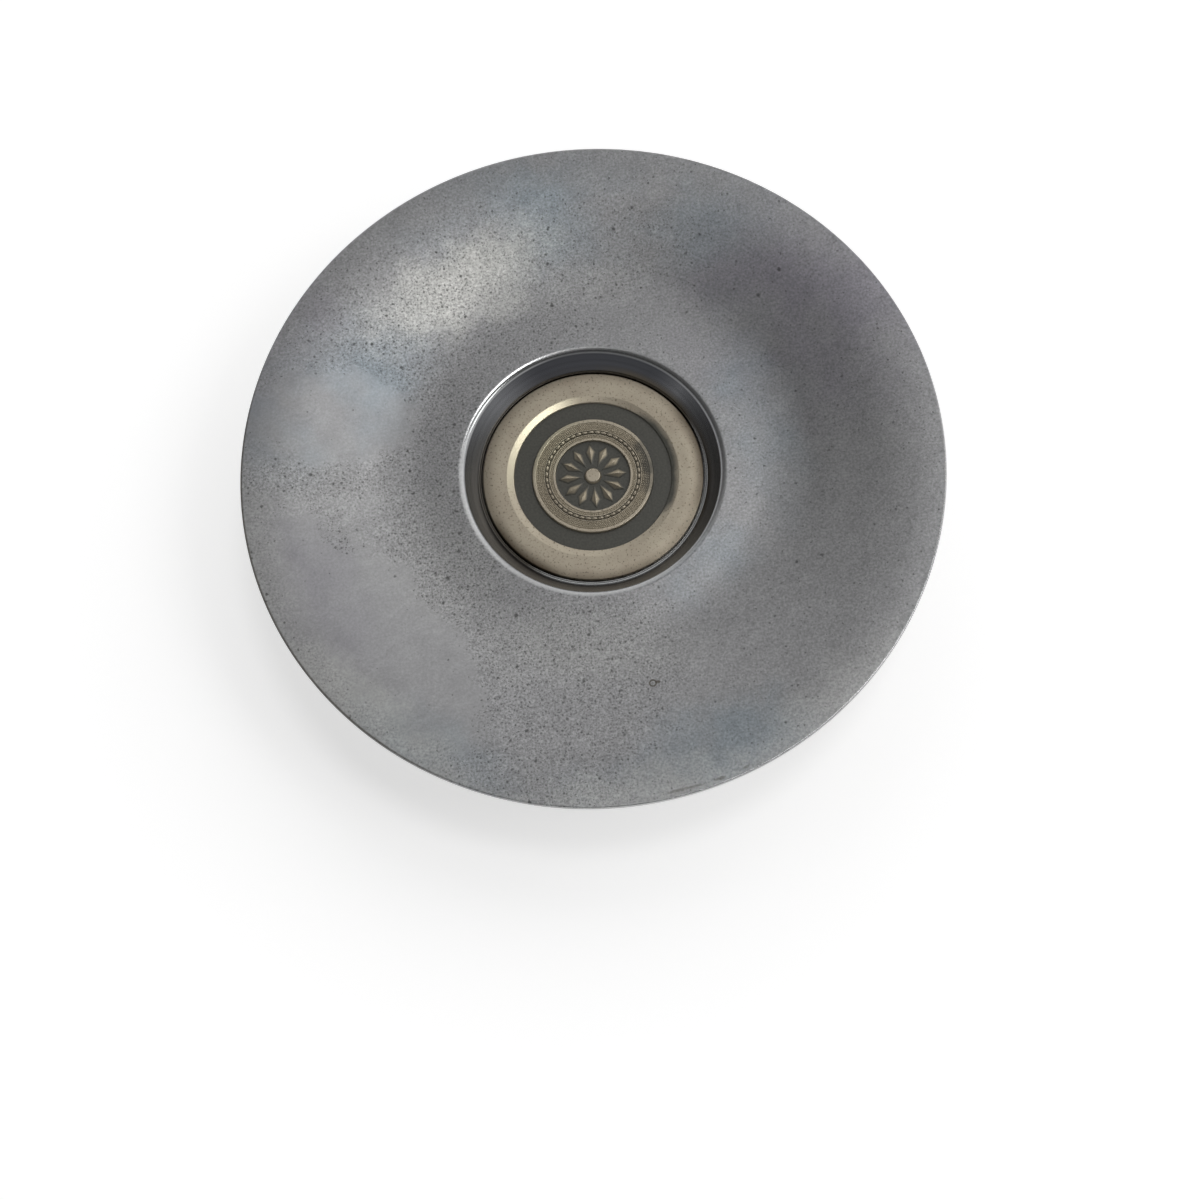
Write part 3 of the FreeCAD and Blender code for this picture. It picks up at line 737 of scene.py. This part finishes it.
# Retainer: web, stop flange, upstand and pilot collar in one moulding, with snap fingers and ribs
retainerSizes = {
    "webTop": 2.4, "webHole": 11.0, "hubRing": 12.8, "ribDepth": 3.0, "collarInner": 32.4,
    "pilot": 35.6, "pilotLength": 5.0, "pilotCut": 0.6, "flange": 42.0, "upstandInner": 40.0,
    "upstandTop": 8.81, "steps": 192,
    "edge": 0.4, "hubRoot": 0.6, "root": 0.8, "collarTip": 0.3, "lead": 0.25, "flangeEdge": 0.5,  # rounds
    "fingers": {"count": 8, "sweep": 26.0, "inner": 32.4, "neck": 34.2, "catch": -9.2, "barb": 35.3,
                "barbTop": -10.2, "barbBottom": -10.8, "tip": -13.2, "tipRadius": 33.4, "nib": 31.7,
                "grooveRadius": 32.9, "grooveTop": -9.5, "grooveBottom": -11.5, "steps": 12,
                "round": 0.3, "barbRound": 0.2, "tipRound": 0.35, "nibEdge": 0.15, "sideRound": 0.12},
    "ribs": {"count": 8, "start": 11.9, "end": 34.0, "thickness": 1.6, "round": 0.3,
             "overlap": 0.4},  # the rib's top is sunk into the web
}


def makeRetainer(s):
    corners = [
        (s["webHole"], s["webTop"]),
        (s["webHole"], -s["ribDepth"], s["edge"]),
        (s["hubRing"], -s["ribDepth"], s["edge"]),
        (s["hubRing"], 0, s["hubRoot"]),
        (s["collarInner"], 0, s["root"]),
        (s["collarInner"], -s["pilotLength"] - s["pilotCut"], s["collarTip"]),
        (s["pilot"] - s["pilotCut"], -s["pilotLength"] - s["pilotCut"], s["lead"]),
        (s["pilot"], -s["pilotLength"], s["lead"]),
        (s["pilot"], 0, s["edge"]),
        (s["flange"], 0, s["flangeEdge"]),
        (s["flange"], s["upstandTop"], s["edge"]),
        (s["upstandInner"], s["upstandTop"], s["edge"]),
        (s["upstandInner"], s["webTop"], s["root"]),
        (s["webHole"], s["webTop"]),
    ]
    body = spinOutline("retainerMoulding", roundedOutline(corners, turnStep=15), s["steps"])
    joinInto(body, [makeFingers(s["fingers"], s["pilotLength"]), makeRibs(s["ribs"], s["ribDepth"])])
    return body


def makeFingers(s, collarDepth):
    # Each finger hangs from the collar, with a barb outside and a groove for the spring inside
    root = -collarDepth
    corners = [
        (s["inner"], root),
        (s["neck"], root),
        (s["neck"], s["catch"], s["round"]),
        (s["barb"], s["barbTop"], s["barbRound"]),
        (s["barb"], s["barbBottom"], s["round"]),
        (s["tipRadius"], s["tip"], s["tipRound"]),
        (s["nib"], s["tip"], s["round"]),
        (s["nib"], s["grooveBottom"], s["nibEdge"]),
        (s["grooveRadius"], s["grooveBottom"]),
        (s["grooveRadius"], s["grooveTop"]),
        (s["inner"], s["grooveTop"], s["sideRound"]),
        (s["inner"], root),
    ]
    finger = spinOutline("finger", roundedOutline(corners, turnStep=15), s["steps"], s["sweep"])
    roundEdges(s["sideRound"], sharpness=60)
    spinCopies(finger, s["count"])
    return finger


def makeRibs(s, depth):
    # Ribs stiffen the web between the posts; their free edges are rounded
    bpy.ops.mesh.primitive_cube_add(size=mm)
    rib = bpy.context.object
    rib.scale = (s["end"] - s["start"], s["thickness"], depth + s["overlap"])
    rib.location = ((s["start"] + s["end"]) / 2 * mm, 0, (s["overlap"] - depth) / 2 * mm)
    bpy.ops.object.transform_apply()
    roundEdges(s["round"], segments=3)
    spinCopies(rib, s["count"], 180 / s["count"])
    return rib


nylonFinish = {"nylon": "#1b1b1d", "dust": "#4a463f", "worn": "#2d2d30",
               "flowSize": 16, "dustSize": 5, "grainSize": 0.4}  # mm


def blackNylon(s):
    # Glass-filled nylon, injection moulded: matt black with a fine spark-eroded grain, grey flow clouds
    # and road dust that has settled into it
    material, tree = newMaterial("moulded black nylon")
    coords = addNode(tree, "TexCoord")
    place = coords.outputs["Object"]
    flow = addNode(tree, "TexNoise", {
        "Vector": place, "Scale": perSize(s["flowSize"]), "Detail": 5.0, "Roughness": 0.6})
    flowShare = addNode(tree, "MapRange", {"Value": flow, "From Min": 0.35, "From Max": 0.75})
    color = addNode(tree, "Mix", {
        0: flowShare, 6: hexColor(s["nylon"]), 7: hexColor(s["worn"])}, data_type="RGBA")
    dust = addNode(tree, "TexNoise", {
        "Vector": place, "Scale": perSize(s["dustSize"]), "Detail": 8.0, "Roughness": 0.7})
    dustShare = addNode(tree, "MapRange", {
        "Value": dust, "From Min": 0.52, "From Max": 0.80, "To Max": 0.7})
    color = addNode(tree, "Mix", {0: dustShare, 6: color, 7: hexColor(s["dust"])}, data_type="RGBA")
    grain = addNode(tree, "TexNoise", {"Vector": place, "Scale": perSize(s["grainSize"]), "Detail": 2.0})
    gloss = addNode(tree, "MapRange", {"Value": dust, "To Min": 0.42, "To Max": 0.72})
    bump = addNode(tree, "Bump", {"Height": grain, "Strength": 0.4, "Distance": 0.06 * mm})
    shader = addNode(tree, "BsdfPrincipled", {
        "Base Color": color, "Roughness": gloss, "IOR": 1.53, "Normal": bump})
    addNode(tree, "OutputMaterial", {"Surface": shader})
    return material


retainer = makeRetainer(retainerSizes)
dress(retainer, "retainer", blackNylon(nylonFinish))


# Spring ring: flat wire with rolled edges, open towards -X
ringSizes = {"outer": 32.8, "thickness": 0.9, "top": -9.6, "bottom": -11.4, "edge": 0.25,
             "gap": 14.0, "steps": 160}
ringFinish = {"zinc": "#a09c92", "grey": "#7d7c79", "rust": "#6a4a33",
              "streakSize": 0.15, "freckleSize": 2.5}  # mm


def makeSpringRing(s):
    inner = s["outer"] - s["thickness"]
    middle = (s["top"] + s["bottom"]) / 2
    corners = [
        (inner, middle),
        (inner, s["top"], s["edge"]),
        (s["outer"], s["top"], s["edge"]),
        (s["outer"], s["bottom"], s["edge"]),
        (inner, s["bottom"], s["edge"]),
        (inner, middle),
    ]
    return spinOutline("springRing", roundedOutline(corners, turnStep=15), s["steps"], 360 - s["gap"])


def drawnWire(s):
    # Drawn steel wire, zinc plated: streaks run along the wire and rust freckles show through
    material, tree = newMaterial("zinc plated drawn wire")
    coords = addNode(tree, "TexCoord")
    place = coords.outputs["Object"]
    parts = addNode(tree, "SeparateXYZ", {0: place})
    flat = addNode(tree, "VectorMath", {0: place, 1: (1, 1, 0)}, operation="MULTIPLY")
    radius = addNode(tree, "VectorMath", {0: flat}, operation="LENGTH")
    across = addNode(tree, "Math", {0: radius, 1: parts.outputs["Z"]}, operation="ADD")
    lines = addNode(tree, "Math", {0: across, 1: perSize(s["streakSize"])}, operation="MULTIPLY")
    streaks = addNode(tree, "TexNoise", {
        "W": lines, "Scale": 1.0, "Detail": 2.0}, noise_dimensions="1D")
    color = addNode(tree, "Mix", {
        0: streaks, 6: hexColor(s["zinc"]), 7: hexColor(s["grey"])}, data_type="RGBA")
    freckles = addNode(tree, "TexNoise", {
        "Vector": place, "Scale": perSize(s["freckleSize"]), "Detail": 6.0, "Roughness": 0.7})
    rust = addNode(tree, "MapRange", {"Value": freckles, "From Min": 0.58, "From Max": 0.72})
    color = addNode(tree, "Mix", {0: rust, 6: color, 7: hexColor(s["rust"])}, data_type="RGBA")
    metal = addNode(tree, "MapRange", {"Value": rust, "To Min": 1.0, "To Max": 0.2})
    gloss = addNode(tree, "MapRange", {"Value": rust, "To Min": 0.32, "To Max": 0.8})
    bump = addNode(tree, "Bump", {"Height": streaks, "Strength": 0.3, "Distance": 0.03 * mm})
    shader = addNode(tree, "BsdfPrincipled", {
        "Base Color": color, "Metallic": metal, "Roughness": gloss, "Normal": bump})
    addNode(tree, "OutputMaterial", {"Surface": shader})
    return material


springRing = makeSpringRing(ringSizes)
dress(springRing, "spring_ring", drawnWire(ringFinish))


# Push nuts keep their stamped solids and take a blackened finish
nutFinish = {"black": "#3c3c3f", "worn": "#6a6865", "rust": "#54402f",
             "mottleSize": 2.2, "freckleSize": 1.1}  # mm


def blackenedSteel(s):
    # Spring steel, hardened and oil blackened: mottled blue-black with bare patches and a little rust
    material, tree = newMaterial("blackened spring steel")
    coords = addNode(tree, "TexCoord")
    place = coords.outputs["Object"]
    mottle = addNode(tree, "TexNoise", {
        "Vector": place, "Scale": perSize(s["mottleSize"]), "Detail": 6.0, "Roughness": 0.65})
    bare = addNode(tree, "MapRange", {"Value": mottle, "From Min": 0.50, "From Max": 0.72})
    color = addNode(tree, "Mix", {
        0: bare, 6: hexColor(s["black"]), 7: hexColor(s["worn"])}, data_type="RGBA")
    freckles = addNode(tree, "TexNoise", {
        "Vector": place, "Scale": perSize(s["freckleSize"]), "Detail": 5.0, "Roughness": 0.7})
    rust = addNode(tree, "MapRange", {"Value": freckles, "From Min": 0.60, "From Max": 0.74})
    color = addNode(tree, "Mix", {0: rust, 6: color, 7: hexColor(s["rust"])}, data_type="RGBA")
    metal = addNode(tree, "MapRange", {"Value": rust, "To Min": 1.0, "To Max": 0.3})
    gloss = addNode(tree, "MapRange", {"Value": mottle, "To Min": 0.55, "To Max": 0.32})
    bump = addNode(tree, "Bump", {"Height": freckles, "Strength": 0.3, "Distance": 0.04 * mm})
    shader = addNode(tree, "BsdfPrincipled", {
        "Base Color": color, "Metallic": metal, "Roughness": gloss, "Normal": bump})
    addNode(tree, "OutputMaterial", {"Surface": shader})
    return material


nutSkin = blackenedSteel(nutFinish)
for nutSlot in frame["nodes"]["push_nuts"].material_slots:
    nutSlot.material = nutSkin
print("push nuts finished")


# Camera, as the photograph looks at the cap: from the front edge, steeply down, slightly rolled
cameraSetup = {"distance": 465.0, "elevation": 72.389, "roll": -6.448, "lens": 56.70,
               "aim": (-1.805, -37.139, 17.2), "sensor": 36}


def placeCamera(s):
    bpy.ops.object.camera_add()
    camera = bpy.context.object
    tilt = math.radians(s["elevation"])
    back = Vector((0, -math.cos(tilt), math.sin(tilt)))
    turn = Matrix.Rotation(math.radians(s["roll"]), 3, back)
    right = turn @ Vector((1, 0, 0))
    axes = Matrix((right, back.cross(right), back)).transposed()
    place = (Vector(s["aim"]) + back * s["distance"]) * mm
    camera.matrix_world = Matrix.Translation(place) @ axes.to_4x4()
    camera.data.lens = s["lens"]
    camera.data.sensor_width = s["sensor"]
    camera.data.clip_start = 0.01
    bpy.context.scene.camera = camera


placeCamera(cameraSetup)


# Soft studio light from far lamps: a key almost overhead, two at the right, a broad one behind
lamps = {
    "key": {"toward": (0.18, 0.12, 0.976), "away": 4.0, "size": 0.9, "power": 17.5},
    "right": {"toward": (0.62, 0.40, 0.68), "away": 4.0, "size": 2.8, "power": 32.0},
    "back": {"toward": (0.05, 0.75, 0.66), "away": 4.0, "size": 2.8, "power": 21.5},
    "front": {"toward": (0.65, -0.15, 0.75), "away": 4.0, "size": 1.4, "power": 18.0},
}
worldSetup = {"zenith": 0.08, "horizon": 1.0, "horizonLow": 0.20, "horizonTop": 0.75}


def placeLamps():
    for name, s in lamps.items():
        toward = Vector(s["toward"]).normalized()
        bpy.ops.object.light_add(type="AREA", location=toward * s["away"])
        lamp = bpy.context.object
        lamp.name = name
        lamp.rotation_euler = toward.to_track_quat("Z", "Y").to_euler()
        lamp.data.size = s["size"]
        lamp.data.energy = s["power"]


def paintWorld(s):
    # Pale round the horizon, dim overhead where the lamps are
    world = bpy.data.worlds.new("studio")
    bpy.context.scene.world = world
    world.use_nodes = True
    tree = world.node_tree
    tree.nodes.clear()
    coords = addNode(tree, "TexCoord")
    parts = addNode(tree, "SeparateXYZ", {0: coords.outputs["Generated"]})
    level = addNode(tree, "MapRange", {
        "Value": parts.outputs["Z"], "From Min": s["horizonLow"], "From Max": s["horizonTop"],
        "To Min": s["horizon"], "To Max": s["zenith"]}, interpolation_type="SMOOTHSTEP")
    background = addNode(tree, "Background", {"Color": (1, 1, 1, 1), "Strength": level})
    addNode(tree, "OutputWorld", {"Surface": background})


placeLamps()
paintWorld(worldSetup)


# Plain white floor under the fingers' tips
floorSetup = {"width": 30.0, "white": "#e6e6e6", "lift": 0.50, "farLift": 0.88, "near": 1.5, "far": 7.0}


def makeFloor(s):
    bpy.ops.mesh.primitive_plane_add(size=s["width"], location=(0, 0, cadLow.z))
    floor = bpy.context.object
    floor.name = "floor"
    material, tree = newMaterial("white paper floor")
    paper = addNode(tree, "BsdfDiffuse", {"Color": hexColor(s["white"])})
    coords = addNode(tree, "TexCoord")
    away = addNode(tree, "VectorMath", {0: coords.outputs["Object"]}, operation="LENGTH")
    lift = addNode(tree, "MapRange", {
        "Value": away, "From Min": s["near"], "From Max": s["far"],
        "To Min": s["lift"], "To Max": s["farLift"]})
    glow = addNode(tree, "Emission", {"Strength": lift})
    both = addNode(tree, "AddShader", {0: paper, 1: glow})
    # From below the floor is clear, so that the back of the cap can be looked at
    clear = addNode(tree, "BsdfTransparent")
    side = addNode(tree, "NewGeometry")
    seen = addNode(tree, "MixShader", {0: side.outputs["Backfacing"], 1: both, 2: clear})
    addNode(tree, "OutputMaterial", {"Surface": seen})
    floor.data.materials.append(material)


makeFloor(floorSetup)
bpy.context.scene.view_settings.view_transform = "Standard"
print("camera, lamps and floor placed")
